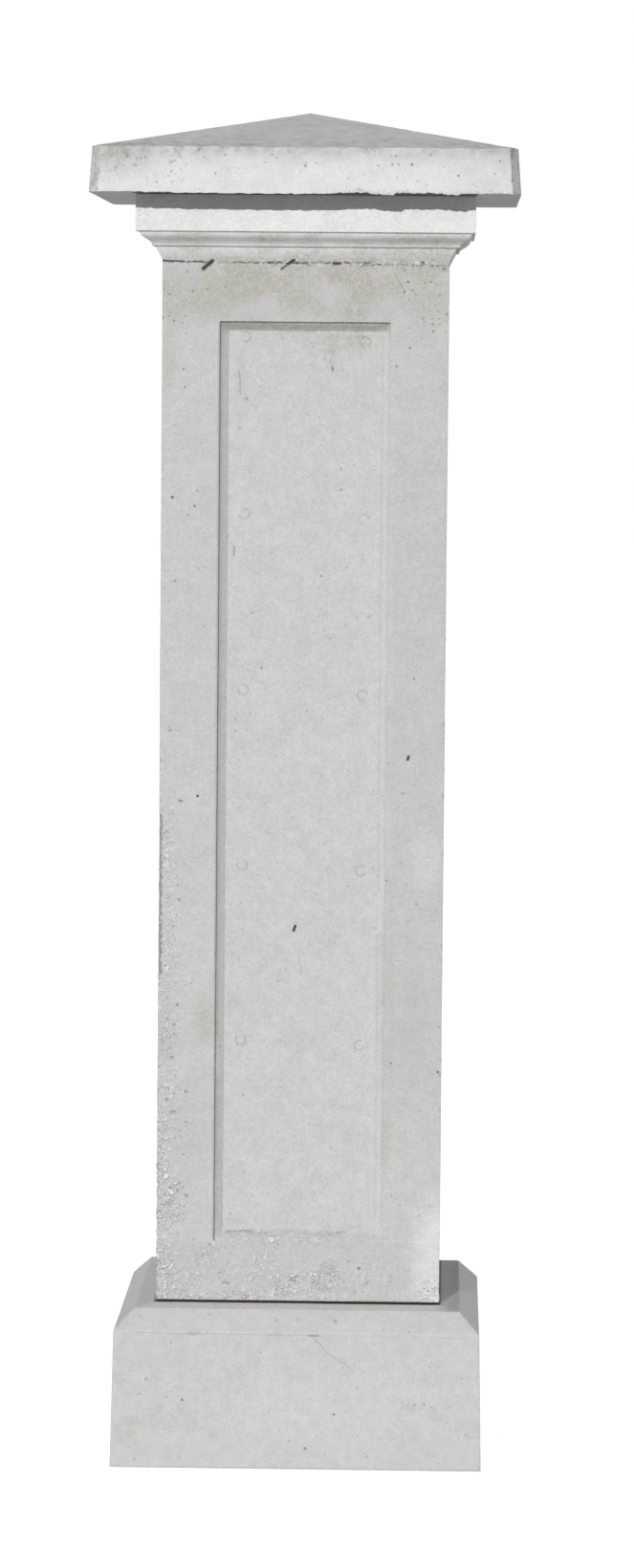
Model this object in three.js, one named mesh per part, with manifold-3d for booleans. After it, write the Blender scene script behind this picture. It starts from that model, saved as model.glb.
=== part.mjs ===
// A square pier of pale cast concrete, the kind that carries a garden gate.
// Three castings stand on each other by their own weight: a plinth block with bevelled top edges,
// a panelled shaft with its moulded neck cast on, and a cap in the shape of a low pyramid.
// Lengths are millimetres, +Z is up, and the front faces -Y.
// The origin is the middle of the underside.

import * as THREE from 'three';
import { mergeVertices } from 'three/addons/utils/BufferGeometryUtils.js';
import Module from 'manifold-3d';

// Plinth block
const PLINTH_FACE_HEIGHT = 145;   // from the ground to the bevel
const PLINTH_DRAFT = 3;           // each face leans in by this much, to leave the mould
const PLINTH_BEVEL_WIDTH = 21;
const PLINTH_BEVEL_HEIGHT = 21;
const PLINTH_LEDGE = 21.5;        // top left bare around the shaft's foot
const PLINTH_WASH = 3.5;          // how far that ledge falls outwards, to shed water

// Shaft
const SHAFT_WIDTH = 300;
const SHAFT_HEIGHT = 1098.5;      // plain part, from the plinth to the foot of the neck
const FOOT_BEVEL = 1.8;           // broken arris round the foot

// Sunk panel, one in each side of the shaft
const STILE_WIDTH = 61;           // plain band beside the panel
const BOTTOM_RAIL = 65.5;
const TOP_RAIL = 63;
const PANEL_STEP = 4;             // square drop at the panel's edge
const PANEL_BEVEL_WIDTH = 9;      // sloping border inside the drop
const PANEL_BEVEL_DEPTH = 7;

// Moulded neck, from the shaft upwards. A reach is how far a member stands out from the one below.
const FLARE_HEIGHT = 15.4;
const FLARE_REACH = 7.5;
const FILLET_STEP = 3;
const FILLET_HEIGHT = 1.2;
const CYMA_HEIGHT = 12.2;
const CYMA_REACH = 12.5;
const QUIRK_HEIGHT = 1.2;
const BAND_STEP = 4;
const BAND_HEIGHT = 38.5;

// Cap
const CAP_OVERHANG = 46.5;        // from the neck's band to the cap's lower edge
const CAP_FACE_HEIGHT = 47.5;
const CAP_DRAFT = 3.5;            // each face leans in by this much up to the eaves
const CAP_CORNER_CUT = 9;         // leg of the cut that takes off each upright corner
const CAP_RISE = 45;              // from the eaves to the point

// The castings rest on each other with a dry joint this thick.
const JOINT = 0.3;

// Curved members are drawn with this many straight steps.
const CURVE_STEPS = 12;

// Levels and half widths that follow from the sizes above
const plinthArris = PLINTH_FACE_HEIGHT + PLINTH_BEVEL_HEIGHT;
const plinthHeight = plinthArris + PLINTH_WASH;
const shaftFoot = plinthHeight + JOINT;
const shaftTop = plinthHeight + SHAFT_HEIGHT;
const flareTop = shaftTop + FLARE_HEIGHT;
const filletTop = flareTop + FILLET_HEIGHT;
const cymaTop = filletTop + CYMA_HEIGHT;
const bandFoot = cymaTop + QUIRK_HEIGHT;
const neckTop = bandFoot + BAND_HEIGHT;
const capFoot = neckTop + JOINT;
const eaves = neckTop + CAP_FACE_HEIGHT;
const apex = eaves + CAP_RISE;

const shaftHalf = SHAFT_WIDTH / 2;
const plinthTopHalf = shaftHalf + PLINTH_LEDGE;
const plinthArrisHalf = plinthTopHalf + PLINTH_BEVEL_WIDTH;
const plinthFootHalf = plinthArrisHalf + PLINTH_DRAFT;
const flareHalf = shaftHalf + FLARE_REACH;
const filletHalf = flareHalf + FILLET_STEP;
const cymaHalf = filletHalf + CYMA_REACH;
const bandHalf = cymaHalf + BAND_STEP;
const capFootHalf = bandHalf + CAP_OVERHANG;
const eavesHalf = capFootHalf - CAP_DRAFT;

const panelWidth = SHAFT_WIDTH - 2 * STILE_WIDTH;
const panelFoot = plinthHeight + BOTTOM_RAIL;
const panelHeight = shaftTop - TOP_RAIL - panelFoot;

const wasm = await Module();
wasm.setup();

// A closed three.js mesh turned into a solid that can be cut and joined.
function toSolid(geometry) {
  const bare = geometry.clone();
  bare.deleteAttribute('normal');
  bare.deleteAttribute('uv');
  const merged = mergeVertices(bare, 1e-5);
  const mesh = new wasm.Mesh({
    numProp: 3,
    vertProperties: new Float32Array(merged.attributes.position.array),
    triVerts: new Uint32Array(merged.index.array),
  });
  return new wasm.Manifold(mesh);
}

// The solid's faces as a three.js geometry, flat shaded.
function toGeometry(solid) {
  const mesh = solid.getMesh();
  const positions = [];
  for (const vertex of mesh.triVerts) {
    const start = vertex * mesh.numProp;
    positions.push(...mesh.vertProperties.slice(start, start + 3));
  }
  const geometry = new THREE.BufferGeometry();
  geometry.setAttribute('position', new THREE.Float32BufferAttribute(positions, 3));
  geometry.computeVertexNormals();
  return geometry;
}

// A section run round a square: every point is [half width across the flats, height].
// A lathe of four steps makes it, with the mitres on the diagonals.
function squareTurned(section) {
  const closed = [[0, section[0][1]], ...section, [0, section.at(-1)[1]]];
  const profile = closed.map(([half, height]) => new THREE.Vector2(half * Math.SQRT2, height));
  const geometry = new THREE.LatheGeometry(profile, 4, Math.PI / 4);
  geometry.rotateX(Math.PI / 2);
  return toSolid(geometry);
}

// A curved member between two section points, its ends left out. The shape gives the share of
// the reach that is gained at each share of the height.
function curve([fromHalf, fromHeight], [toHalf, toHeight], shape) {
  const points = [];
  for (let step = 1; step < CURVE_STEPS; step++) {
    const share = step / CURVE_STEPS;
    points.push([
      fromHalf + (toHalf - fromHalf) * shape(share),
      fromHeight + (toHeight - fromHeight) * share,
    ]);
  }
  return points;
}

// A straight splay that leaves the shaft with a small hollow.
const flare = (share) => (Math.hypot(share, 0.1) - 0.1) / (Math.hypot(1, 0.1) - 0.1);

// A flat S, a hollow below and a round above, that leans out most a little below the middle.
const cyma = (share) => share - 0.1 * Math.sin(2 * Math.PI * share ** 0.87);

function makePlinth() {
  return squareTurned([
    [plinthFootHalf, 0],
    [plinthArrisHalf, PLINTH_FACE_HEIGHT],
    [plinthTopHalf, plinthArris],
    [shaftHalf, plinthHeight],
  ]);
}

// The hollow that one panel takes out of the front of the shaft: a block in three layers,
// straight through the square drop and drawn in over the sloping border.
function panelHollow() {
  const clear = PANEL_STEP;
  const block = new THREE.BoxGeometry(panelWidth, 2, panelHeight, 1, 2, 1);
  const position = block.attributes.position;
  const floorWidth = (panelWidth - 2 * PANEL_BEVEL_WIDTH) / panelWidth;
  const floorHeight = (panelHeight - 2 * PANEL_BEVEL_WIDTH) / panelHeight;
  for (let i = 0; i < position.count; i++) {
    const layer = Math.round(position.getY(i));
    if (layer < 0) {
      position.setY(i, -shaftHalf - clear);
    } else if (layer === 0) {
      position.setY(i, -shaftHalf + PANEL_STEP);
    } else {
      position.setX(i, position.getX(i) * floorWidth);
      position.setZ(i, position.getZ(i) * floorHeight);
      position.setY(i, -shaftHalf + PANEL_STEP + PANEL_BEVEL_DEPTH);
    }
  }
  block.translate(0, 0, panelFoot + panelHeight / 2);
  return block;
}

function makeShaft() {
  const flareFoot = [shaftHalf, shaftTop];
  const flareHead = [flareHalf, flareTop];
  const cymaFoot = [filletHalf, filletTop];
  const cymaHead = [cymaHalf, cymaTop];
  let shaft = squareTurned([
    [shaftHalf - FOOT_BEVEL, shaftFoot],
    [shaftHalf, shaftFoot + FOOT_BEVEL],
    flareFoot,
    ...curve(flareFoot, flareHead, flare),
    flareHead,
    [filletHalf, flareTop],
    cymaFoot,
    ...curve(cymaFoot, cymaHead, cyma),
    cymaHead,
    [cymaHalf, bandFoot],
    [bandHalf, bandFoot],
    [bandHalf, neckTop],
  ]);
  for (let side = 0; side < 4; side++) {
    const hollow = panelHollow();
    hollow.rotateZ(side * Math.PI / 2);
    shaft = shaft.subtract(toSolid(hollow));
  }
  return shaft;
}

// Four leaning planes on the diagonals take off the cap's upright corners.
// They keep the draft of the faces, so the cut is as wide at the eaves as at the foot.
function cornerCutter() {
  const reachAt = (half) => 2 * half - CAP_CORNER_CUT;
  const lean = (reachAt(capFootHalf) - reachAt(eavesHalf)) / CAP_FACE_HEIGHT;
  const foot = capFoot - CAP_RISE;
  const head = apex + CAP_RISE;
  const profile = [
    new THREE.Vector2(0, foot),
    new THREE.Vector2(reachAt(capFootHalf) + lean * (neckTop - foot), foot),
    new THREE.Vector2(reachAt(capFootHalf) + lean * (neckTop - head), head),
    new THREE.Vector2(0, head),
  ];
  const geometry = new THREE.LatheGeometry(profile, 4);
  geometry.rotateX(Math.PI / 2);
  return toSolid(geometry);
}

function makeCap() {
  const block = squareTurned([
    [capFootHalf, capFoot],
    [eavesHalf, eaves],
    [0, apex],
  ]);
  return block.intersect(cornerCutter());
}

const CONCRETE = { roughness: 0.9, metalness: 0 };
const plinthConcrete = new THREE.MeshStandardMaterial({ ...CONCRETE, color: '#cdcfce' });
const shaftConcrete = new THREE.MeshStandardMaterial({ ...CONCRETE, color: '#c8cacb' });
const capConcrete = new THREE.MeshStandardMaterial({ ...CONCRETE, color: '#dcdddd' });

function piece(name, solid, material) {
  const mesh = new THREE.Mesh(toGeometry(solid), material);
  mesh.name = name;
  return mesh;
}

const pier = new THREE.Group();
pier.add(piece('plinth', makePlinth(), plinthConcrete));
pier.add(piece('shaft', makeShaft(), shaftConcrete));
pier.add(piece('cap', makeCap(), capConcrete));

export default pier;
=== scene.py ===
# %% [markdown]
# A square garden pier of pale precast concrete, standing in three castings: a bevelled plinth block,
# a panelled shaft with a moulded neck, and a low pyramid cap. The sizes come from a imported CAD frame.
# Blender adds what the mould and the weather leave on such a casting: softened arrises, air holes,
# a leaking mould seam, broken edges, stains and the grain of the cement skin.

import math
from collections import namedtuple

import bmesh
import bpy
import numpy as np
from mathutils import Matrix, Vector, noise
from mathutils.bvhtree import BVHTree


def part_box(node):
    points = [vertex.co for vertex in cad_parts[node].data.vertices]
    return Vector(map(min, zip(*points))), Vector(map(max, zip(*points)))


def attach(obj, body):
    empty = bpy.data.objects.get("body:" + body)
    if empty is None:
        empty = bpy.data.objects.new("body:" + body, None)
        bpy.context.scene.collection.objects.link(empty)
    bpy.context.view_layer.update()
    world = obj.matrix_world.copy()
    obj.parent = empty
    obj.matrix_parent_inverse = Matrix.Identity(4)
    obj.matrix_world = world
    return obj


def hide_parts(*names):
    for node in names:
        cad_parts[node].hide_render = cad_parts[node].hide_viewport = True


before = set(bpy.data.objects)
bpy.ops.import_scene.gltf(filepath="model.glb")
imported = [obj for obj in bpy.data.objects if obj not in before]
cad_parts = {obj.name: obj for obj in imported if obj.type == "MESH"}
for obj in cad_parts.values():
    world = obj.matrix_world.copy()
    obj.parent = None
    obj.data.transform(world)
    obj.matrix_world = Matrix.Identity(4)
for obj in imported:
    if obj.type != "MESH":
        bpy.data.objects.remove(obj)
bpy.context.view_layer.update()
MM = 0.001

# %% [markdown]
# The camera comes first, because everything is judged through it. A long lens about six metres away
# keeps the uprights of a tall, narrow subject nearly parallel. It stands a little to the right,
# at the height of the shaft's upper third, and looks slightly down, so the tops of the ledges show.

# %% Camera
PHOTO_HEIGHT = 1641                 # pixels of the long side
FOCAL_LENGTH = 5840                 # in those pixels
SENSOR = 36.0                       # mm, along that side
CAMERA_PLACE = Vector((147.4, -6002.7, 1149.4)) * MM
CAMERA_HEADING = 1.284              # degrees to the left of straight ahead
CAMERA_TILT = -4.187
CAMERA_ROLL = 0.490


def turn(degrees, axis):
    return Matrix.Rotation(math.radians(degrees), 4, axis)


camera_data = bpy.data.cameras.new("camera")
camera_data.lens = FOCAL_LENGTH / PHOTO_HEIGHT * SENSOR
camera_data.sensor_width = SENSOR
camera_data.clip_end = 100
camera = bpy.data.objects.new("camera", camera_data)
bpy.context.scene.collection.objects.link(camera)
aim = turn(CAMERA_HEADING, "Z") @ turn(90 + CAMERA_TILT, "X") @ turn(CAMERA_ROLL, "Z")
camera.matrix_world = Matrix.Translation(CAMERA_PLACE) @ aim
bpy.context.scene.camera = camera
print(f"lens {camera_data.lens:.1f} mm")

# %% [markdown]
# Low sun from the front left makes the crisp shadow under the cap and the dark lines beside the sunk
# panel. Open sky and sunlit ground fill the shadows, and the ground is brightest close by, so the
# underside of the cap stays lighter than the shadow on the neck. Two wide level lights from behind
# are the bright surroundings: they lift the bevels that face away. To the camera alone the
# background is plain white.

# %% Light
SUN_STRENGTH = 2.48
SUN_WIDTH = 0.6                     # degrees across, which sets how soft a shadow's edge is
TO_SUN = Vector((-0.173, -0.935, 0.311))
SKY = 0.34
FAR_GROUND = 0.27                   # what the ground throws back from near the horizon
NEAR_GROUND = 0.50                  # and from right below
GROUND_FALL = 3.0                   # power by which it brightens towards straight below
SKY_TINT = (0.99, 0.995, 1.0, 1)
BACK_WIDTH = 50
BACK_LEFT_STRENGTH = 0.9
BACK_RIGHT_STRENGTH = 1.3
TO_BACK_LEFT = Vector((-0.75, 0.65, 0.06))
TO_BACK_RIGHT = Vector((0.75, 0.65, 0.06))


def add_sun(name, strength, width, toward):
    data = bpy.data.lights.new(name, "SUN")
    data.energy = strength
    data.angle = math.radians(width)
    lamp = bpy.data.objects.new(name, data)
    lamp.rotation_mode = "QUATERNION"
    lamp.rotation_quaternion = toward.to_track_quat("Z", "Y")
    bpy.context.scene.collection.objects.link(lamp)


def add_node(tree, kind, inputs=None, **settings):
    """Adds a node. An input is a number, a colour or the socket of another node."""
    node = tree.nodes.new(kind)
    for name, value in settings.items():
        setattr(node, name, value)
    for name, value in (inputs or {}).items():
        if isinstance(value, bpy.types.NodeSocket):
            tree.links.new(value, node.inputs[name])
        else:
            node.inputs[name].default_value = value
    return node


add_sun("sun", SUN_STRENGTH, SUN_WIDTH, TO_SUN)
add_sun("back_left_light", BACK_LEFT_STRENGTH, BACK_WIDTH, TO_BACK_LEFT)
add_sun("back_right_light", BACK_RIGHT_STRENGTH, BACK_WIDTH, TO_BACK_RIGHT)

world = bpy.data.worlds.new("open_sky")
bpy.context.scene.world = world
world.use_nodes = True
sky_tree = world.node_tree
sky_tree.nodes.clear()
rays = add_node(sky_tree, "ShaderNodeLightPath")
view = add_node(sky_tree, "ShaderNodeTexCoord").outputs["Generated"]
rise = add_node(sky_tree, "ShaderNodeSeparateXYZ", {0: view}).outputs["Z"]
below = add_node(sky_tree, "ShaderNodeMath", {0: rise, 1: -1.0}, operation="MULTIPLY", use_clamp=True)
below = add_node(sky_tree, "ShaderNodeMath", {0: below.outputs[0], 1: GROUND_FALL}, operation="POWER")
ground_range = {"Value": below.outputs[0], "To Min": FAR_GROUND, "To Max": NEAR_GROUND}
ground = add_node(sky_tree, "ShaderNodeMapRange", ground_range)
above = add_node(sky_tree, "ShaderNodeMath", {0: rise, 1: 0.0}, operation="GREATER_THAN")
up_or_down = {0: above.outputs[0], 2: ground.outputs[0], 3: SKY}
brightness = add_node(sky_tree, "ShaderNodeMix", up_or_down).outputs[0]
sky = add_node(sky_tree, "ShaderNodeBackground", {"Color": SKY_TINT, "Strength": brightness})
white = add_node(sky_tree, "ShaderNodeBackground", {"Color": (1, 1, 1, 1), "Strength": 1.0})
by_ray = {0: rays.outputs["Is Camera Ray"], 1: sky.outputs[0], 2: white.outputs[0]}
either = add_node(sky_tree, "ShaderNodeMixShader", by_ray)
add_node(sky_tree, "ShaderNodeOutputWorld", {"Surface": either.outputs[0]})

bpy.context.scene.view_settings.view_transform = "Standard"
bpy.context.scene.view_settings.look = "None"

# %% [markdown]
# The floor is a plain pale plane. Most of its white is its own glow, so the pier's long shadow is only
# a breath of grey on it, and it throws no light of its own up at the concrete.

# %% Floor
FLOOR_WIDTH = 60
FLOOR_GREY = 0.42
FLOOR_GLOW = 0.84
floor_mesh = bpy.data.meshes.new("floor")
floor_bm = bmesh.new()
bmesh.ops.create_grid(floor_bm, x_segments=1, y_segments=1, size=FLOOR_WIDTH / 2)
floor_bm.to_mesh(floor_mesh)
floor_bm.free()
floor = bpy.data.objects.new("floor", floor_mesh)
bpy.context.scene.collection.objects.link(floor)
paper = bpy.data.materials.new("matt_white_paper")
paper.use_nodes = True
paper_shader = paper.node_tree.nodes["Principled BSDF"]
for setting, value in {
    "Base Color": (FLOOR_GREY, FLOOR_GREY, FLOOR_GREY, 1),
    "Roughness": 1.0,
    "Specular IOR Level": 0.0,
    "Emission Color": (1, 1, 1, 1),
    "Emission Strength": FLOOR_GLOW,
}.items():
    paper_shader.inputs[setting].default_value = value
floor_mesh.materials.append(paper)
floor.visible_diffuse = False
floor.visible_glossy = False

# %% [markdown]
# The castings are built again from the same few sizes as the frame, because the frame's faces are too
# large to carry holes and chips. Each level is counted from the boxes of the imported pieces, so the
# dressed castings stand where the plain ones stood.

# %% Sizes
_, plinth_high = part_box("plinth")
shaft_low, shaft_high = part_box("shaft")
cap_low, cap_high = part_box("cap")

PLINTH_DRAFT = 3 * MM
PLINTH_BEVEL_WIDTH = 21 * MM
PLINTH_BEVEL_HEIGHT = 21 * MM
PLINTH_WASH = 3.5 * MM

SHAFT_HALF = 150 * MM
FOOT_BEVEL = 1.8 * MM
STILE_WIDTH = 61 * MM
BOTTOM_RAIL = 65.5 * MM
TOP_RAIL = 63 * MM
PANEL_STEP = 4 * MM
PANEL_BEVEL_WIDTH = 9 * MM
PANEL_BEVEL_DEPTH = 7 * MM

FLARE_HEIGHT = 15.4 * MM
FLARE_REACH = 7.5 * MM
FILLET_STEP = 3 * MM
FILLET_HEIGHT = 1.2 * MM
CYMA_HEIGHT = 12.2 * MM
QUIRK_HEIGHT = 1.2 * MM
BAND_STEP = 4 * MM
BAND_HEIGHT = 38.5 * MM

CAP_DRAFT = 3.5 * MM
CAP_FACE_HEIGHT = 47.2 * MM         # from the cap's own underside
CAP_CORNER_CUT = 9 * MM

plinth_foot_half = plinth_high.x
plinth_arris_half = plinth_foot_half - PLINTH_DRAFT
plinth_top_half = plinth_arris_half - PLINTH_BEVEL_WIDTH
plinth_top = plinth_high.z
plinth_arris = plinth_top - PLINTH_WASH
plinth_face_top = plinth_arris - PLINTH_BEVEL_HEIGHT

shaft_foot = shaft_low.z
neck_top = shaft_high.z
band_half = shaft_high.x
band_foot = neck_top - BAND_HEIGHT
cyma_top = band_foot - QUIRK_HEIGHT
fillet_top = cyma_top - CYMA_HEIGHT
flare_top = fillet_top - FILLET_HEIGHT
shaft_top = flare_top - FLARE_HEIGHT
cyma_half = band_half - BAND_STEP
flare_half = SHAFT_HALF + FLARE_REACH
fillet_half = flare_half + FILLET_STEP

panel_half = SHAFT_HALF - STILE_WIDTH
panel_foot = plinth_top + BOTTOM_RAIL
panel_head = shaft_top - TOP_RAIL

cap_foot = cap_low.z
cap_foot_half = cap_high.x
eaves = cap_foot + CAP_FACE_HEIGHT
eaves_half = cap_foot_half - CAP_DRAFT
apex = cap_high.z
print(f"shaft from {shaft_foot / MM:.1f} to {shaft_top / MM:.1f} mm, neck to {neck_top / MM:.1f}")
print(f"cap from {cap_foot / MM:.1f} mm, eaves at {eaves / MM:.1f}, point at {apex / MM:.1f}")

# %% [markdown]
# Every casting is the same section on four sides, mitred at the corners. The quickest way to that is a
# half section drawn on the diagonal and spun four times round the upright axis: the spin makes
# flat faces and true mitres, mouldings included.

# %% Square bodies from a spun section
CURVE_STEPS = 12


def square_body(rim):
    """A closed solid. The rim is points of half width and height, from the axis and back to it."""
    bm = bmesh.new()
    points = [bm.verts.new((half, -half, height)) for half, height in rim]
    for low, high in zip(points, points[1:]):
        bm.edges.new((low, high))
    bmesh.ops.spin(
        bm, geom=bm.verts[:] + bm.edges[:], cent=(0, 0, 0), axis=(0, 0, 1),
        angle=math.tau, steps=4, use_merge=True,
    )
    bmesh.ops.remove_doubles(bm, verts=bm.verts, dist=0.01 * MM)
    bmesh.ops.recalc_face_normals(bm, faces=bm.faces)
    return bm


def curve(start, end, shape):
    """A curved member's section, its far end included. Shape gives the share of the reach that is
    gained at each share of the height."""
    shares = [step / CURVE_STEPS for step in range(1, CURVE_STEPS + 1)]
    reach = end[0] - start[0]
    rise = end[1] - start[1]
    return [(start[0] + reach * shape(share), start[1] + rise * share) for share in shares]


def flare(share):
    """A straight splay that leaves the shaft with a small hollow."""
    return (math.hypot(share, 0.1) - 0.1) / (math.hypot(1, 0.1) - 0.1)


def cyma(share):
    """A flat S, a hollow below and a round above."""
    return share - 0.1 * math.sin(math.tau * share ** 0.87)


plinth_bm = square_body([
    (0, 0),
    (plinth_foot_half, 0),
    (plinth_arris_half, plinth_face_top),
    (plinth_top_half, plinth_arris),
    (SHAFT_HALF, plinth_top),
    (0, plinth_top),
])
shaft_bm = square_body([
    (0, shaft_foot),
    (SHAFT_HALF - FOOT_BEVEL, shaft_foot),
    (SHAFT_HALF, shaft_foot + FOOT_BEVEL),
    (SHAFT_HALF, shaft_top),
    *curve((SHAFT_HALF, shaft_top), (flare_half, flare_top), flare),
    (fillet_half, flare_top),
    (fillet_half, fillet_top),
    *curve((fillet_half, fillet_top), (cyma_half, cyma_top), cyma),
    (cyma_half, band_foot),
    (band_half, band_foot),
    (band_half, neck_top),
    (0, neck_top),
])
cap_bm = square_body([
    (0, cap_foot),
    (cap_foot_half, cap_foot),
    (eaves_half, eaves),
    (0, apex),
])
print("faces before the carving:", len(plinth_bm.faces), len(shaft_bm.faces), len(cap_bm.faces))

# %% [markdown]
# The panel is a board that was fixed inside the mould: a square drop all round, then a sloping border,
# then the flat field. Slices through the body outline it on all four sides. Each outlined face is
# then pushed in, and inset again with a slope.

# %% Sunk panels
def slice_body(bm, axis, places, hidden=()):
    """Cuts the body's faces where flat planes cross it, and takes nothing away.
    Level faces at a hidden height, where one casting rests on another, stay whole."""
    direction = Vector(axis)
    for place in places:
        faces = [face for face in bm.faces if not lies_at(face, hidden)]
        edges = {edge for face in faces for edge in face.edges}
        bmesh.ops.bisect_plane(
            bm, geom=bm.verts[:] + list(edges) + faces, dist=0.001 * MM,
            plane_co=direction * place, plane_no=direction,
        )


def lies_at(face, heights):
    """True for a level face at one of these heights."""
    level = abs(face.normal.z) > 0.99
    return level and any(abs(face.verts[0].co.z - height) < 0.1 * MM for height in heights)


def is_panel(face):
    centre = face.calc_center_median()
    on_the_middle = min(abs(centre.x), abs(centre.y)) < MM
    return on_the_middle and abs(centre.z - (panel_foot + panel_head) / 2) < MM


slice_body(shaft_bm, (1, 0, 0), (-panel_half, panel_half))
slice_body(shaft_bm, (0, 1, 0), (-panel_half, panel_half))
slice_body(shaft_bm, (0, 0, 1), (panel_foot, panel_head))
for face in [face for face in shaft_bm.faces if is_panel(face)]:
    outward = face.normal.copy()
    sunk = bmesh.ops.extrude_discrete_faces(shaft_bm, faces=[face])["faces"]
    bmesh.ops.translate(shaft_bm, vec=-outward * PANEL_STEP, verts=sunk[0].verts[:])
    bmesh.ops.inset_individual(
        shaft_bm, faces=sunk, thickness=PANEL_BEVEL_WIDTH, depth=-PANEL_BEVEL_DEPTH,
        use_even_offset=True,
    )
print("shaft faces with the panels:", len(shaft_bm.faces))

# %% [markdown]
# The cap's upright corners are cut off flat. A plane through the corner with everything outside it
# cleared away leaves a hole, and filling the loop of the cut closes the solid again.

# %% Cut corners of the cap
reach_at_foot = 2 * cap_foot_half - CAP_CORNER_CUT
reach_at_eaves = 2 * eaves_half - CAP_CORNER_CUT
lean = (reach_at_foot - reach_at_eaves) / CAP_FACE_HEIGHT
for x, y in ((1, 1), (1, -1), (-1, 1), (-1, -1)):
    cut = bmesh.ops.bisect_plane(
        cap_bm, geom=cap_bm.verts[:] + cap_bm.edges[:] + cap_bm.faces[:], dist=0.001 * MM,
        plane_co=(x * reach_at_foot / 2, y * reach_at_foot / 2, cap_foot),
        plane_no=Vector((x, y, lean)).normalized(), clear_outer=True,
    )
    rim = [part for part in cut["geom_cut"] if isinstance(part, bmesh.types.BMEdge)]
    bmesh.ops.edgeloop_fill(cap_bm, edges=rim)
bmesh.ops.recalc_face_normals(cap_bm, faces=cap_bm.faces)
print("cap faces with cut corners:", len(cap_bm.faces))

# %% [markdown]
# No cast arris is a knife edge: the mould's joints leak a little and the corner wears. A narrow bevel
# of two segments on the outward edges catches a thin line of light, as the real ones do.

# %% Worn arrises
def wear_arrises(bm, width, low, high, sharpest):
    """Bevels the outward edges between two levels that turn by more than an angle in degrees."""
    edges = [
        edge for edge in bm.edges
        if edge.is_manifold
        and edge.calc_face_angle_signed() > math.radians(sharpest)
        and low <= min(v.co.z for v in edge.verts)
        and max(v.co.z for v in edge.verts) <= high
    ]
    bmesh.ops.bevel(
        bm, geom=edges, offset=width, offset_type="OFFSET", segments=2, profile=0.5,
        affect="EDGES", clamp_overlap=True, material=-1,
    )
    return len(edges)


TINY = 0.01 * MM
ARRIS_WEAR = 0.9 * MM
PLINTH_WEAR = 1.2 * MM
shaft_worn = wear_arrises(shaft_bm, ARRIS_WEAR, shaft_foot + FOOT_BEVEL - TINY, shaft_top + TINY, 60)
neck_worn = wear_arrises(shaft_bm, ARRIS_WEAR, band_foot - TINY, neck_top + TINY, 60)
plinth_worn = wear_arrises(plinth_bm, PLINTH_WEAR, 0, plinth_top, 25)
cap_worn = wear_arrises(cap_bm, ARRIS_WEAR, cap_foot, eaves + 2 * MM, 40)
print("arrises worn:", plinth_worn, shaft_worn, neck_worn, cap_worn)

# %% [markdown]
# Holes and chips need small faces, and flat plain stretches don't. So each casting is first sliced
# into a coarse grid, and later only the faces near a mark are split again and again.

# %% Coarse grid
GRID = 24 * MM


def spread(stops, pitch):
    """The stops, and evenly spaced places between them no more than a pitch apart."""
    places = [stops[0]]
    for low, high in zip(stops, stops[1:]):
        count = max(1, math.ceil((high - low) / pitch))
        places += [low + (high - low) * step / count for step in range(1, count + 1)]
    return places


def grid_body(bm, across, upward, hidden):
    """Slices across both level axes and upright. Across holds spreads that are mirrored too."""
    for places in across:
        mirrored = sorted(set([-place for place in places] + list(places)))
        slice_body(bm, (1, 0, 0), mirrored, hidden)
        slice_body(bm, (0, 1, 0), mirrored, hidden)
    for places in upward:
        slice_body(bm, (0, 0, 1), places, hidden)


HOLD = 3 * MM                       # a line this close to an arris keeps the flat face flat
field_half = panel_half - PANEL_BEVEL_WIDTH
field_foot = panel_foot + PANEL_BEVEL_WIDTH
field_head = panel_head - PANEL_BEVEL_WIDTH
grid_body(
    plinth_bm,
    [spread([0, SHAFT_HALF + HOLD, plinth_top_half - HOLD, plinth_arris_half - HOLD], GRID)],
    [
        spread([HOLD, plinth_face_top - HOLD], GRID),
        spread([plinth_face_top + HOLD, plinth_arris - HOLD], GRID),
    ],
    [0, plinth_top],
)
grid_body(
    shaft_bm,
    [
        spread([0, field_half - HOLD], GRID),
        spread([panel_half + HOLD, SHAFT_HALF - HOLD], GRID),
        spread([fillet_half, band_half - HOLD], GRID),
    ],
    [
        spread([shaft_foot + 2 * HOLD, panel_foot - HOLD], GRID),
        spread([field_foot + HOLD, field_head - HOLD], GRID),
        spread([panel_head + HOLD, shaft_top - HOLD], GRID),
        spread([band_foot + HOLD, neck_top - HOLD], GRID),
    ],
    [shaft_foot, neck_top],
)
grid_body(
    cap_bm,
    [
        spread([0, band_half, band_half + HOLD, eaves_half - CAP_CORNER_CUT - HOLD], GRID),
        [eaves_half - HOLD],
    ],
    [spread([cap_foot + HOLD, eaves - HOLD], GRID)],
    [],
)
print("faces in the grids:", len(plinth_bm.faces), len(shaft_bm.faces), len(cap_bm.faces))

# %% [markdown]
# A mark is a cut: a short line on the surface with a half width, a depth and how dark it is painted inside,
# dirt together with painted shade.
# An air hole is a cut with no length, a crack is a chain of them, and the round print of a screw head
# is a ring of them. A ray shot at the casting finds where each one lies, on a stile, a slope or a
# moulding alike.

# %% Marks
Cut = namedtuple("Cut", "start end half_width depth dirt into")
FRONT, RIGHT, BACK, LEFT = range(4)
CORNERS = ((-1, -1), (1, -1), (1, 1), (-1, 1))
DIAGONAL = Vector((1, 1, 0)).normalized()


def find_surface(tree, side, across, height):
    """The point and the outward direction where a level ray hits this side. Lengths are in mm."""
    around = Matrix.Rotation(side * math.pi / 2, 3, "Z")
    start = around @ Vector((across * MM, -1, height * MM))
    point, outward, _, _ = tree.ray_cast(start, around @ Vector((0, 1, 0)))
    return point, outward


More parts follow.
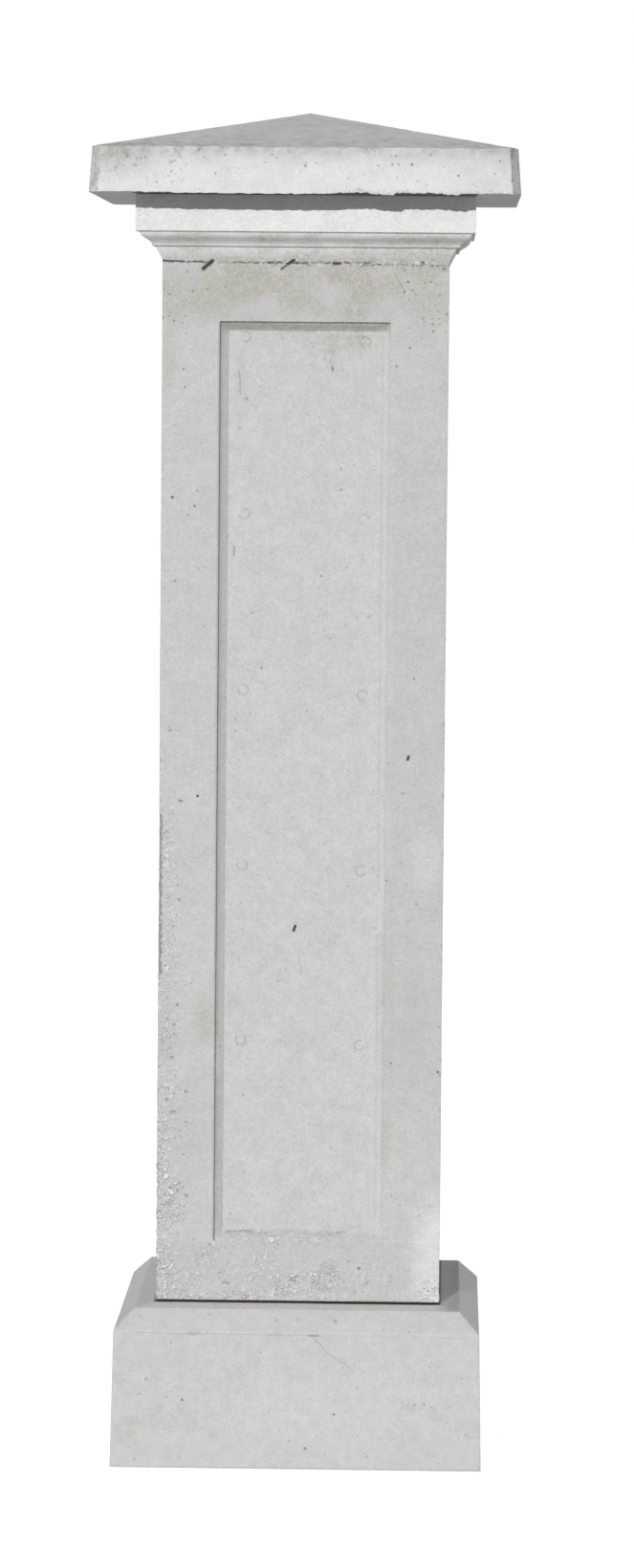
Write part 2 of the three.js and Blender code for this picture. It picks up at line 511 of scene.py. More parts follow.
def pit(tree, across, height, radius, depth=None, dirt=0.7, side=FRONT):
    """An air hole."""
    point, outward = find_surface(tree, side, across, height)
    if point is None:
        return []
    depth = radius if depth is None else depth
    return [Cut(np.array(point), np.array(point), radius * MM, depth * MM, dirt, -np.array(outward))]


def pits(tree, *marks):
    """Several air holes, each given by what pit asks for after the tree."""
    return [cut for mark in marks for cut in pit(tree, *mark)]


def groove(tree, stops, half_width, depth, dirt=0.5, side=FRONT):
    """A chain of cuts through points of (across, height)."""
    found = [find_surface(tree, side, across, height) for across, height in stops]
    return [
        Cut(np.array(a), np.array(b), half_width * MM, depth * MM, dirt, -np.array(outward))
        for (a, outward), (b, _) in zip(found, found[1:])
    ]


def broken_seam(tree, seed, start, end, height, half_width, depth, dirt):
    """Short grooves and gaps along a level line on the front, as a leaking seam leaves them."""
    chance = np.random.default_rng(seed)
    cuts = []
    across = start
    while across < end:
        length = chance.uniform(1.5, 6)
        wander = chance.uniform(-0.8, 0.8, 2)
        share = chance.uniform(0.35, 1.0)
        stops = [(across, height + wander[0]), (across + length, height + wander[1])]
        cuts += groove(tree, stops, half_width * (0.5 + 0.5 * share), depth * share, dirt * share)
        across += length + chance.uniform(0.3, 4)
    return cuts


def scatter(tree, seed, side, box, count, smallest, largest, dirt=0.8):
    """Air holes at random places in a box of (left, right, foot, head), small ones the most."""
    chance = np.random.default_rng(seed)
    cuts = []
    for _ in range(count):
        across = chance.uniform(box[0], box[1])
        height = chance.uniform(box[2], box[3])
        radius = smallest + (largest - smallest) * chance.random() ** 3
        share = chance.uniform(0.5, 1.0)
        cuts += pit(tree, across, height, radius, radius * 1.1 * share, dirt * share, side)
    return cuts


def nick(x, y, height, radius, depth, into, dirt=0.25):
    """A flake lost from an arris. All of it moves one way, so that the faces beside it don't cross."""
    point = np.array((x, y, height)) * MM
    return Cut(point, point, radius * MM, depth * MM, dirt, np.array(into))


def distance_to(points, cut):
    """How far each point is from the cut's line."""
    along = cut.end - cut.start
    length = along @ along
    if length < 1e-12:
        return np.linalg.norm(points - cut.start, axis=1)
    share = np.clip((points - cut.start) @ along / length, 0, 1)
    return np.linalg.norm(points - cut.start - share[:, None] * along, axis=1)


def near_cut(points, cut, margin):
    """The numbers of the points in a box round the cut."""
    low = np.minimum(cut.start, cut.end) - margin
    high = np.maximum(cut.start, cut.end) + margin
    return np.flatnonzero(np.all((points > low) & (points < high), axis=1))


# %% [markdown]
# Splitting goes in rounds. In each round a face is split if it is larger than the marks or the rough
# ground under it ask for, and the size of the face is added to a mark's reach, so the small faces fade
# out into the large ones.

# %% Finer faces where marks are
FINE = 0.8 * MM                     # faces in a small hole
FINE_SHARE = 0.6                    # faces in a larger one, as a share of its half width
FADE = 0.55                         # how fast they grow away from the hole
ROUNDS = 5


def refine(bm, cuts, grounds):
    """Grounds are pairs of a test on face centres and the face size wanted there."""
    for _ in range(ROUNDS):
        faces = bm.faces[:]
        centres = np.array([face.calc_center_median() for face in faces])
        sizes = np.array([max(edge.calc_length() for edge in face.edges) for face in faces])
        wanted = np.full(len(faces), 1.0)
        for is_rough, size in grounds:
            chosen = is_rough(centres)
            wanted[chosen] = np.minimum(wanted[chosen], size)
        for cut in cuts:
            reach = cut.half_width * 1.15
            finest = max(FINE, cut.half_width * FINE_SHARE)
            near = near_cut(centres, cut, reach + GRID)
            near = near[sizes[near] > finest]
            near = near[distance_to(centres[near], cut) < reach + FADE * sizes[near]]
            wanted[near] = np.minimum(wanted[near], finest)
        edges = set()
        for number in np.flatnonzero(sizes > wanted):
            edges.update(edge for edge in faces[number].edges if edge.calc_length() > wanted[number])
        if not edges:
            break
        bmesh.ops.subdivide_edges(bm, edges=list(edges), cuts=1, use_grid_fill=True)
    bmesh.ops.triangulate(bm, faces=bm.faces[:], quad_method="BEAUTY", ngon_method="BEAUTY")
    bmesh.ops.recalc_face_normals(bm, faces=bm.faces)


def carve(points, cuts):
    """The push that the deepest cut gives each point, and the dirt and painted shade it leaves there."""
    deepest = np.zeros(len(points))
    push = np.zeros((len(points), 3))
    dirt = np.zeros(len(points))
    for cut in cuts:
        near = near_cut(points, cut, cut.half_width)
        share = np.clip(1 - (distance_to(points[near], cut) / cut.half_width) ** 2, 0, 1)
        depth = cut.depth * np.sqrt(share)
        deeper = depth > deepest[near]
        deepest[near[deeper]] = depth[deeper]
        push[near[deeper]] = depth[deeper, None] * cut.into
        dirt[near] = np.maximum(dirt[near], cut.dirt * share ** 0.5)
    return push, dirt


def lumps(points, spacing, seed, octaves=3):
    """Smooth random heights between about -1 and 1, with lumps this many mm apart."""
    shift = Vector((seed * 7.31, seed * 3.17, seed * 5.71))
    scale = 1 / (spacing * MM)
    return np.array([noise.fractal(Vector(point) * scale + shift, 1.0, 2.0, octaves) for point in points])


def fade(values, start, end):
    """0 up to start, 1 from end on, and smooth between. End may be below start."""
    share = np.clip((values - start) / (end - start), 0, 1)
    return share * share * (3 - 2 * share)


def patch(points, across, height, half_width, half_height):
    """A soft oval on the front: 1 in its middle and 0 outside. Lengths are in mm."""
    x = (points[:, 0] / MM - across) / half_width
    z = (points[:, 2] / MM - height) / half_height
    return fade(np.hypot(x, z), 1, 0.25) * (points[:, 1] < 0)


def patches(points, *ovals):
    """Several such ovals, each given by its strength and then its place and size."""
    return [strength * patch(points, *oval) for strength, *oval in ovals]


# %% [markdown]
# Once its faces are small enough, a casting becomes a mesh. Its points are moved by the relief, and masks
# that the material reads are stored on them: dirt in holes, joints and crevices, with painted shade there
# too, beige stain, bloom, which is the paler skin where the cement paste lay thick and in places painted
# light, and rough, where the skin is gone or crumbly.

# %% From carved body to piece
SHARP_TURN = 34                     # degrees between two faces from which their edge stays crisp


def read_points(mesh):
    points = np.empty(len(mesh.vertices) * 3)
    normals = np.empty(len(mesh.vertices) * 3)
    mesh.vertices.foreach_get("co", points)
    mesh.vertex_normals.foreach_get("vector", normals)
    return points.reshape(-1, 3), normals.reshape(-1, 3)


def store_mask(mesh, name, values):
    mask = mesh.attributes.new(name, "FLOAT", "POINT")
    mask.data.foreach_set("value", np.clip(values, 0, 1).astype(np.float32))


def make_piece(name, bm, weather, cuts):
    """Makes the mesh object. Weather gives its points a push, and the masks by name."""
    mesh = bpy.data.meshes.new(name)
    bm.to_mesh(mesh)
    bm.free()
    points, normals = read_points(mesh)
    push, masks = weather(points, normals)
    cut_push, cut_dirt_and_shade = carve(points, cuts)
    mesh.vertices.foreach_set("co", (points + push + cut_push).ravel())
    masks["dirt"] = np.maximum(masks["dirt"], cut_dirt_and_shade)
    for mask_name, values in masks.items():
        store_mask(mesh, mask_name, values)
    mesh.shade_smooth()
    mesh.set_sharp_from_angle(angle=math.radians(SHARP_TURN))
    mesh.update()
    piece = bpy.data.objects.new(name, mesh)
    bpy.context.scene.collection.objects.link(piece)
    print(f"{name}: {len(mesh.polygons)} triangles, {len(cuts)} cuts")
    return piece


# %% [markdown]
# The plinth is the plainest casting. Its front has a few clear air holes, a crack that runs down from a
# chip in the arris, and a faint line just below the arris where two boards of the mould met.

# %% Plinth
CRACK = [(19, 139), (24, 134), (33, 124), (45, 115.5), (56, 109.7), (61, 105)]

plinth_tree = BVHTree.FromBMesh(plinth_bm)
plinth_cuts = [
    *pits(
        plinth_tree, (-119, 72, 1.4), (40.6, 58.6, 1.3), (10.7, 22, 1.4), (-6, 30, 1.6, 0.6, 0.3),
        (125.4, 69.7, 1.1, 1.0, 0.6), (135.6, 70.4, 1.1, 1.0, 0.6), (179.5, 38.6, 1.0, 0.8, 0.5),
        (41, 156, 2.8, 0.7, 0.3), (-20.5, 156.5, 2.6, 0.5, 0.2), (2.6, 157, 2.2, 0.5, 0.18),
    ),
    *groove(plinth_tree, CRACK, 0.7, 0.4, 0.2),
    *groove(plinth_tree, [(13, 142), (18, 141.2), (24, 142)], 1.2, 0.9, 0.3),
    *groove(plinth_tree, [(-165, 142.8), (-90, 142.2), (-22, 142.2), (10, 141.9)], 0.7, 0.25, 0.12),
    *groove(plinth_tree, [(30, 141.9), (60, 141.8), (120, 141.4)], 0.7, 0.15, 0.05),
    *groove(plinth_tree, [(140, 141.3), (178, 141.2)], 0.7, 0.25, 0.12),
    *scatter(plinth_tree, 11, FRONT, (-190, 190, 3, 165), 60, 0.7, 1.6, 0.28),
]
for side in (RIGHT, BACK, LEFT):
    plinth_cuts += scatter(plinth_tree, 12 + side, side, (-188, 188, 5, 165), 22, 0.8, 1.6, 0.4)


def weather_plinth(points, normals):
    x, y, z = (points / MM).T
    arris = plinth_arris / MM
    wave = 0.15 * MM * (lumps(points, 90, 1) - 0.6)
    push = normals * (wave * fade(z, 0.5, 3))[:, None]

    beside = np.maximum(np.abs(x), np.abs(y))
    on_ledge = fade(z, arris - 1, arris)
    # The ledge right at the shaft's foot is painted dark, dirt together with painted shade in the joint,
    # and the ledge right of the shaft a little darker.
    dirt = 0.9 * on_ledge * fade(beside, 150.5, 150) + 0.3 * on_ledge * fade(x, 150, 156)
    dirt += 0.1 * fade(z, 3, 0)
    stain = 0.12 + 0.12 * fade(lumps(points, 60, 2), 0.0, 0.7)
    stain += 0.4 * patch(points, -130, 40, 75, 50) * fade(lumps(points, 14, 3), -0.1, 0.5)
    stain += sum(patches(
        points, (0.9, -107, 143.5, 12, 4), (0.5, -21, 143, 10, 5), (0.6, 20, 142, 8, 2.5),
        (0.6, 120, 67, 8, 6), (0.6, 147, 61, 9, 8), (0.6, -187, 98, 8, 10),
    ))
    # A broad patch on the front is paler skin. The front ledge, which faces up, is painted paler: painted
    # light.
    bloom_and_light = 0.2 * patch(points, 30, 60, 150, 60) + 0.3 * on_ledge * (y < -150)
    rough = 0.25 * patch(points, 20, 142, 10, 3)
    return push, {"dirt": dirt, "stain": stain, "bloom_and_light": bloom_and_light, "rough": rough}


plinth_grounds = [
    (lambda c: (c[:, 1] < 0) & (np.abs(c[:, 2] - 143 * MM) < 6 * MM), 5 * MM),
    (lambda c: c[:, 1] < -0.15, 12 * MM),
]
refine(plinth_bm, plinth_cuts, plinth_grounds)
plinth_casting = make_piece("plinth_casting", plinth_bm, weather_plinth, plinth_cuts)

# %% [markdown]
# The shaft tells most of the story. A dark broken line under the neck is a seam of the mould that leaked
# grout, with two gouges across it. Screws on both sides of the panel board left round prints in the
# field. Air gathered in holes along the left edge, and the foot was patched and never smoothed.

# %% Marks on the shaft
SCREW_PITCH = 185.3                 # mm between the prints up the panel
LOWEST_SCREWS = 262.5
SCREW_ROWS = 6
SCREW_DROP = 4.5                    # mm that the right print of a pair is lower
SCREW_HEAD = 5.4                    # mm, radius of a print


def ring(tree, across, height, radius, start, end):
    """Part of a shallow ring, from one angle to another in degrees."""
    turns = np.radians(np.linspace(start, end, 10))
    stops = [(across + radius * math.cos(t), height + radius * math.sin(t)) for t in turns]
    return groove(tree, stops, 0.9, 0.4, 0.24)


shaft_tree = BVHTree.FromBMesh(shaft_bm)
shaft_cuts = [
    *groove(shaft_tree, [(-149, 1267.9), (-138, 1267.5), (-127, 1267.1)], 0.9, 1.4, 0.95),
    *groove(shaft_tree, [(-118, 1267.3), (-107, 1267)], 0.8, 1.2, 0.9),
    *groove(shaft_tree, [(-97.5, 1267.8), (-102, 1264), (-107, 1259.6)], 2.1, 2.6, 1.0),
    *groove(shaft_tree, [(-12.4, 1269), (-19, 1264.8)], 1.7, 2.2, 1.0),
    *groove(shaft_tree, [(-19, 1264.8), (-25.5, 1259.6)], 1.0, 1.2, 0.9),
    *groove(shaft_tree, [(29, 1266), (36, 1266.2)], 1.4, 1.6, 1.0),
    *broken_seam(shaft_tree, 71, -149, -104, 1266.6, 1.0, 0.9, 0.8),
    *broken_seam(shaft_tree, 72, -92, -38, 1266.4, 1.1, 1.0, 0.9),
    *broken_seam(shaft_tree, 73, -40, 66, 1266.8, 1.2, 1.1, 0.95),
    *broken_seam(shaft_tree, 74, 60, 148, 1264.8, 1.0, 0.9, 0.6),
    *pits(
        shaft_tree, (122, 1267.6, 1.7), (132, 1264, 1.3), (112, 1264.6, 1.2), (144, 1261, 1.4),
        (107, 1247.6, 1.4), (103, 1237.3, 1.2), (-138, 1020.6, 1.7), (-114.4, 1011.6, 1.3),
        (-111.5, 1027.7, 1.7, 0.8, 0.3), (-127, 1155, 1.0, 1.0, 0.6), (-125, 1136, 1.2, 1.0, 0.6),
        (95.8, 1159.5, 1.2, 1.0, 0.7), (109.6, 1179, 1.1, 1.0, 0.7), (-134, 933, 1.0, 1.0, 0.6),
        (18.5, 939, 1.1, 1.0, 0.7), (45.6, 948, 1.7, 0.8, 0.3), (-53.5, 899.5, 1.3, 0.8, 0.4),
        (-43.4, 841.4, 1.1, 1.0, 0.6), (117.3, 832.6, 1.2, 1.0, 0.6),
        (-109.3, 706.7, 1.5, 1.5, 1.0), (106.5, 711.7, 1.4, 0.8, 0.4), (-129, 485.5, 1.3),
        (97, 425.8, 1.2, 1.0, 0.7), (146.4, 417, 1.5), (122, 594.7, 1.3, 0.8, 0.4),
        (90.4, 619, 1.5, 0.8, 0.35), (65, 207, 1.5), (38.9, 1029.5, 1.3, 1.0, 0.5),
    ),
    *groove(shaft_tree, [(93.5, 1256), (97, 1249), (101, 1241)], 0.8, 0.5, 0.3),
    *groove(shaft_tree, [(28.6, 1158), (28.9, 1154.5)], 0.9, 0.8, 0.7),
    *groove(shaft_tree, [(-69, 1153), (-68, 1141), (-68, 1131)], 0.8, 0.5, 0.3),
    *groove(shaft_tree, [(111.4, 747.4), (112.2, 750.4)], 1.5, 1.8, 1.0),
    *groove(shaft_tree, [(-129, 702), (-125.4, 701)], 0.9, 0.9, 0.7),
    *groove(shaft_tree, [(-7.4, 564.4), (-5.6, 569.4)], 1.5, 2.0, 1.0),
    *groove(shaft_tree, [(-2.1, 538), (-0.4, 530), (1.3, 520)], 0.7, 0.3, 0.22),
    *groove(shaft_tree, [(-76, 243.6), (-60, 244.2), (-48, 243.6)], 1.6, 0.8, 0.3),
    *groove(shaft_tree, [(-50, 243.4), (-20, 244.4), (10, 243.6), (38, 243)], 2.4, 0.7, 0.14),
    *groove(shaft_tree, [(42, 243.4), (50, 244.4)], 1.5, 1.0, 0.25),
    *groove(shaft_tree, [(-73, 969.3), (-73.4, 959.3)], 0.9, 0.6, 0.45),
]
# Mortar covers the lowest pair.
for row in range(1, SCREW_ROWS):
    left_height = LOWEST_SCREWS + row * SCREW_PITCH
    shaft_cuts += ring(shaft_tree, -62.5, left_height, SCREW_HEAD, 120 + 20 * row, 390 + 20 * row)
    shaft_cuts += ring(shaft_tree, 63, left_height - SCREW_DROP, SCREW_HEAD, 100 - 25 * row, 370 - 25 * row)
for seed, box, count, smallest, largest, dirt in (
    (21, (-149, 149, 255, 1255), 150, 0.7, 1.5, 0.28),
    (22, (-149, -126, 420, 780), 70, 0.7, 1.8, 0.35),
    (27, (-149, -118, 250, 420), 70, 0.8, 1.8, 0.35),
    (23, (100, 149, 1195, 1264), 60, 0.6, 1.6, 0.45),
    (24, (-60, 65, 1263, 1269), 24, 0.7, 1.4, 0.6),
    (25, (-149, -100, 1195, 1262), 46, 0.6, 1.4, 0.4),
    (26, (-148, 80, 172, 236), 40, 0.7, 1.8, 0.35),
):
    shaft_cuts += scatter(shaft_tree, seed, FRONT, box, count, smallest, largest, dirt)
for side in (RIGHT, BACK, LEFT):
    shaft_cuts += scatter(shaft_tree, 30 + side, side, (-148, 148, 178, 1262), 34, 0.9, 1.9, 0.4)
    shaft_cuts += scatter(shaft_tree, 40 + side, side, (-148, 148, 1264, 1267.5), 10, 0.9, 1.6, 0.6)

# %% [markdown]
# An arris loses flakes where it is knocked. The worst stretch is on the left, where the
# corner is broken back for some fifteen centimetres. The other three have small nicks here and there.

# %% Broken arrises of the shaft
edge_chance = np.random.default_rng(41)
for height in np.arange(522, 690, 4.2):
    radius = edge_chance.uniform(2.6, 4.6)
    depth = edge_chance.uniform(1.2, 2.4)
    shaft_cuts.append(nick(-150, -150, height + edge_chance.uniform(-2, 2), radius, depth, DIAGONAL, 0.5))
for x, y in CORNERS:
    inward = Vector((-x, -y, 0)).normalized()
    for _ in range(16):
        height = edge_chance.uniform(180, 1262)
        radius = edge_chance.uniform(1.4, 3.2)
        depth = edge_chance.uniform(0.3, 1.1)
        shaft_cuts.append(nick(150 * x, 150 * y, height, radius, depth, inward, 0.15))
print("cuts on the shaft:", len(shaft_cuts))


# %% Weather of the shaft
MORTAR_SHORT = 0.04                 # mm that the mortar in the panel's edge lies behind the face


def weather_shaft(points, normals):
    x, y, z = (points / MM).T
    low = panel_foot / MM
    high = panel_head / MM
    neck = z - shaft_top / MM
    front = y < -130
    wave = 0.18 * (lumps(points, 110, 5) - 0.6)
    # The patched foot: lumps some 7 mm apart, strongest low on the left and in the middle.
    crust = np.maximum.reduce([
        *patches(
            points, (1, -4, 192, 50, 24), (1, 30, 196, 28, 26), (1, -137, 180, 30, 17),
            (0.9, -145, 212, 20, 30), (0.5, -92, 222, 34, 15), (0.6, -40, 214, 30, 13),
            (0.8, 140, 182, 22, 22), (0.8, -134, 277, 24, 32), (0.5, -146, 300, 16, 90),
        ),
        0.5 * fade(np.abs(z - low - 4), 9, 4) * fade(np.abs(x + 8), 75, 55),
        0.3 * fade(z, 236, 200) * fade(x, 126, 80),
        0.9 * fade(z, 186, 177) * fade(x, 40, -50),
        0.4 * fade(z, 181, 174),
    ])
    crust *= front * fade(z, 171, 174) * (0.4 + 0.9 * fade(lumps(points, 17, 8, 3), -0.4, 0.3))
    bumps = lumps(points, 7, 6, 3)
    relief = crust * (1.9 * bumps - 0.25)
    # The left edge is sandy from the middle of the shaft down.
    grain = lumps(points, 4.2, 7, 2)
    sandy = front * fade(x, -122, -142) * fade(z, 800, 600)
    relief += sandy * 0.45 * (grain - 0.4)
    # Grout that leaked from the seam stands in small crumbs about it.
    seam = front * fade(np.abs(neck + 2.5), 6, 1) * (0.5 + 0.5 * fade(x, -60, -30))
    relief += seam * 0.6 * grain
    push = normals * ((wave + relief) * MM)[:, None]
    push[z < 170.1] = 0
    # The patching mortar has all but filled the square drop at the panel's foot.
    filled = fade(z, low + 8, low + 2) * (z > low - 0.5) * (x > -88.9) * (x < 89.2)
    filled *= (y < -139) & (y > -149.9)
    room = np.minimum(PANEL_STEP / MM, y + SHAFT_HALF / MM) - MORTAR_SHORT
    push[:, 1] -= room * MM * filled
    beside = np.maximum(np.abs(x), np.abs(y))
    outside = (beside > 149) & (np.minimum(np.abs(x), np.abs(y)) > 88)
    rough = crust + 0.4 * sandy + 0.6 * seam + 0.12 * outside

    # The open joint at the foot is painted black: dirt together with painted shade in the crevice.
    dirt = fade(z, 172.2, 171.4) * (beside > 140)
    dirt = np.maximum(dirt, seam * 0.35 * fade(grain, -0.1, -0.7))
    # A thin dark line down the panel's left edge is painted shadow, where the sun from the left shades the
    # drop, with a little dirt.
    panel_edge_shadow = fade(np.abs(x + 89.2), 1.6, 0.4) * fade(z, low + 1, low + 5) * fade(z, high + 1, high - 3)
    dirt = np.maximum(dirt, 0.25 * front * panel_edge_shadow)

    # The foot, the top rail and the right stile are a shade darker than the rest.
    handled = np.maximum.reduce([
        fade(x, 91, 94) * fade(z, 300, 420) * (1 - 0.7 * fade(z, 1040, 1120)),
        patch(points, -118, 350, 32, 90),
        fade(z, low, low - 2),
        0.6 * fade(z, high + 1, high + 5),
    ])
    dirt = np.maximum(dirt, 0.045 * front * handled * fade(neck, -2, -6))

    beside_field = (z > low + 8) & (z < high - 8)
    in_panel = beside_field & (np.minimum(np.abs(x), np.abs(y)) < 80) & (beside < 141)
    bloom_and_light = 0.08 * in_panel
    bloom_and_light += 0.3 * front * beside_field * (x > 80.5) * (x < 88.5) * (y > -147)
    # The neck's band is paler skin. Under it the flare, which faces a little down, is painted paler, and
    # narrow rows of the moulding are painted darker and lighter: painted light and shade.
    bloom_and_light += 0.7 * fade(neck, 0, 8) + 0.3 * fade(neck, 28.5, 30)
    bloom_and_light -= 0.5 * fade(neck, 15, 16) * fade(neck, 19.5, 17.5)
    bloom_and_light += 0.3 * fade(neck, 8, 11) * fade(neck, 15, 14)
    bloom_and_light += 0.3 * fade(neck, 23, 25) * fade(neck, 29, 28)
    bloom_and_light += sum(patches(
        points, (0.6, 150, 212, 42, 95), (0.25, 138, 186, 18, 18), (0.2, 130, 640, 26, 45),
        (0.5, -74, 1216, 3, 2.5), (0.9, -112.7, 1196, 2.4, 2),
    ))
    bloom_and_light += 0.4 * seam * fade(grain, 0.2, 0.7)
    top = fade(neck, -103, -18) * (0.5 + 0.5 * fade(neck, 4, -2)) * fade(neck, 30, 28)
    cloud = fade(lumps(points, 45, 10, 4), -0.4, 0.35)
    stain = top * (0.1 + 0.95 * cloud)
    # The panel's upper bevel, which faces down, is stained beige and painted darker: painted shade.
    upper_bevel = fade(z, high - 10, high - 8) * fade(z, high + 1, high) * (beside < 146)
    stain += 0.9 * upper_bevel
    dirt = np.maximum(dirt, 0.13 * upper_bevel)
    # Growth at the top corners, runs below the panel's upper edge, and blots further down.
    stain += sum(patches(
        points, (0.35, -138, 1232, 32, 45), (0.5, -143, 1170, 13, 50), (0.45, 128, 1225, 38, 38),
        (0.3, 143, 1140, 10, 60), (0.4, 26, 1182, 42, 20), (0.45, 62, 1186, 22, 16),
        (0.8, -100, 469, 17, 42), (0.45, -138, 450, 16, 30), (0.35, 92, 480, 12, 200),
        (0.45, 90.5, 622, 4, 8), (0.6, 92, 340, 7, 40), (0.3, 27, 1170, 8, 35),
        (0.25, -66, 1140, 10, 60), (0.35, 35, 1215, 40, 14), (0.5, -74, 302, 5, 14),
        (0.4, 60, 248, 18, 5), (0.5, -64, 255, 16, 6), (0.3, 120, 470, 20, 90),
    ))
    stain += 0.5 * front * fade(z, 175.5, 173) * fade(z, 171, 172) * fade(lumps(points, 30, 11), -0.3, 0.3)
    stain += 0.15 * fade(lumps(points, 35, 12), 0.1, 0.8)
    return push, {"dirt": dirt, "stain": stain, "bloom_and_light": bloom_and_light, "rough": rough}


def on_front(centres):
    return centres[:, 1] < -0.135


shaft_grounds = [
    (lambda c: on_front(c) & (c[:, 2] < 0.176), 1.6 * MM),
    (lambda c: on_front(c) & (c[:, 2] < 0.240) & (c[:, 0] < 0.126), 3.1 * MM),
    (lambda c: on_front(c) & (c[:, 2] < 0.205) & (c[:, 0] > 0.114), 3.1 * MM),
    (lambda c: on_front(c) & (c[:, 2] < 0.250) & (np.abs(c[:, 0]) < 0.092), 3.1 * MM),
    (lambda c: on_front(c) & (c[:, 2] < 0.800) & (c[:, 0] < -0.116), 3.1 * MM),
    (lambda c: on_front(c) & (np.abs(c[:, 2] - 1.266) < 0.005), 1.6 * MM),
    (lambda c: on_front(c) & (c[:, 2] > 1.268), 12.1 * MM),
    (lambda c: on_front(c), 6.1 * MM),
    (lambda c: (c[:, 2] < 0.1725) & (c[:, 2] > 0.170), 6.1 * MM),
]
refine(shaft_bm, shaft_cuts, shaft_grounds)
shaft_casting = make_piece("shaft_casting", shaft_bm, weather_shaft, shaft_cuts)

# %% [markdown]
# The cap was cast upside down and trowelled, so its slopes have fine ripples. Its lower arris is ragged
# on the right, where fins of grout hang below the mould's edge and other bits broke off. The shadow on the
# neck repeats that ragged line.

# %% Cap
CAP_NICK_OUT = 222.5                # mm from the axis to a nick on the drafted face
CORNER_LEG = 8                      # mm, about the leg of the cut that takes off an upright corner

cap_tree = BVHTree.FromBMesh(cap_bm)
cap_cuts = [
    *pits(
        cap_tree, (0.4, 1364.9, 1.3), (-92, 1356.4, 1.2, 1.0, 0.5), (110.3, 1366.7, 1.4),
        (90, 1366.8, 1.0), (96.8, 1366.9, 1.0), (130, 1377, 1.2, 1.0, 0.5),
        (94, 1375, 1.1, 0.9, 0.5), (158.3, 1355.8, 1.2), (200.6, 1371, 1.0),
        (75.7, 1365.5, 1.4, 0.8, 0.4), (-138, 1367.5, 2.4, 1.0, 0.35), (-134, 1369, 1.6, 0.8, 0.35),
        (-183, 1373.4, 1.8, 1.0, 0.4), (-169, 1371.6, 1.5, 0.8, 0.4),
        (-152.7, 1347, 1.6, 0.8, 0.35), (-33.8, 1375.9, 1.1, 0.9, 0.5), (-29, 1373, 1.1, 0.9, 0.5),
        (-82, 1375.5, 1.3, 1.0, 0.5),
    ),
    *groove(cap_tree, [(-114, 1338.6), (-109, 1340.4), (-103, 1338.6)], 0.8, 0.5, 0.12),
    *groove(cap_tree, [(52, 1338.8), (56, 1341.2), (60, 1338.6)], 1.3, 0.9, 0.2),
    *scatter(cap_tree, 51, FRONT, (-215, -120, 1345, 1383), 40, 0.7, 2.0, 0.22),
    *scatter(cap_tree, 52, FRONT, (-212, 212, 1340, 1383), 40, 0.7, 1.3, 0.28),
    *scatter(cap_tree, 53, FRONT, (-200, 200, 1385, 1425), 34, 0.7, 1.8, 0.4),
]
for side in (RIGHT, BACK, LEFT):
    cap_cuts += scatter(cap_tree, 53 + side, side, (-212, 212, 1340, 1420), 34, 0.8, 1.6, 0.4)
cap_chance = np.random.default_rng(61)
for x, y in CORNERS:
    inward = Vector((-x, -y, 0)).normalized()
    for _ in range(9):
        height = cap_chance.uniform(1338, 1384)
        inset = cap_chance.choice((0, CORNER_LEG))
        across = x * (CAP_NICK_OUT - inset)
        deep = y * (CAP_NICK_OUT - (CORNER_LEG - inset))
        radius = cap_chance.uniform(1.5, 3)
        depth = cap_chance.uniform(0.4, 1)
        cap_cuts.append(nick(across, deep, height, radius, depth, inward))


def arris_drop(x):
    """How far the cap's front lower arris hangs below its level, in mm. A bite is negative."""
    wander = np.array([noise.fractal(Vector((value / 6.0, 3.3, 0)), 0.8, 2.0, 2) for value in x])
    drop = wander * (0.8 + 0.9 * fade(x, 10, 50)) * fade(np.abs(x), 200, 176)
    drop += 0.95 * fade(x, -190, -70) * fade(x, 36, 8) - 0.4 * fade(x, -150, -195)
    drop -= 0.85 * fade(x, 32, 40) * fade(x, 65, 59)
    drop += 0.35 * fade(x, 63, 67) + 0.75 * fade(x, 75, 79)
    drop -= 1.4 * fade(x, 91, 95)
    drop += 1.2 * fade(x, 142, 147) - 1.45 * fade(x, 158, 161)
    drop += 0.45 * fade(x, 172, 182) - 0.7 * fade(x, 188, 194)
    return drop


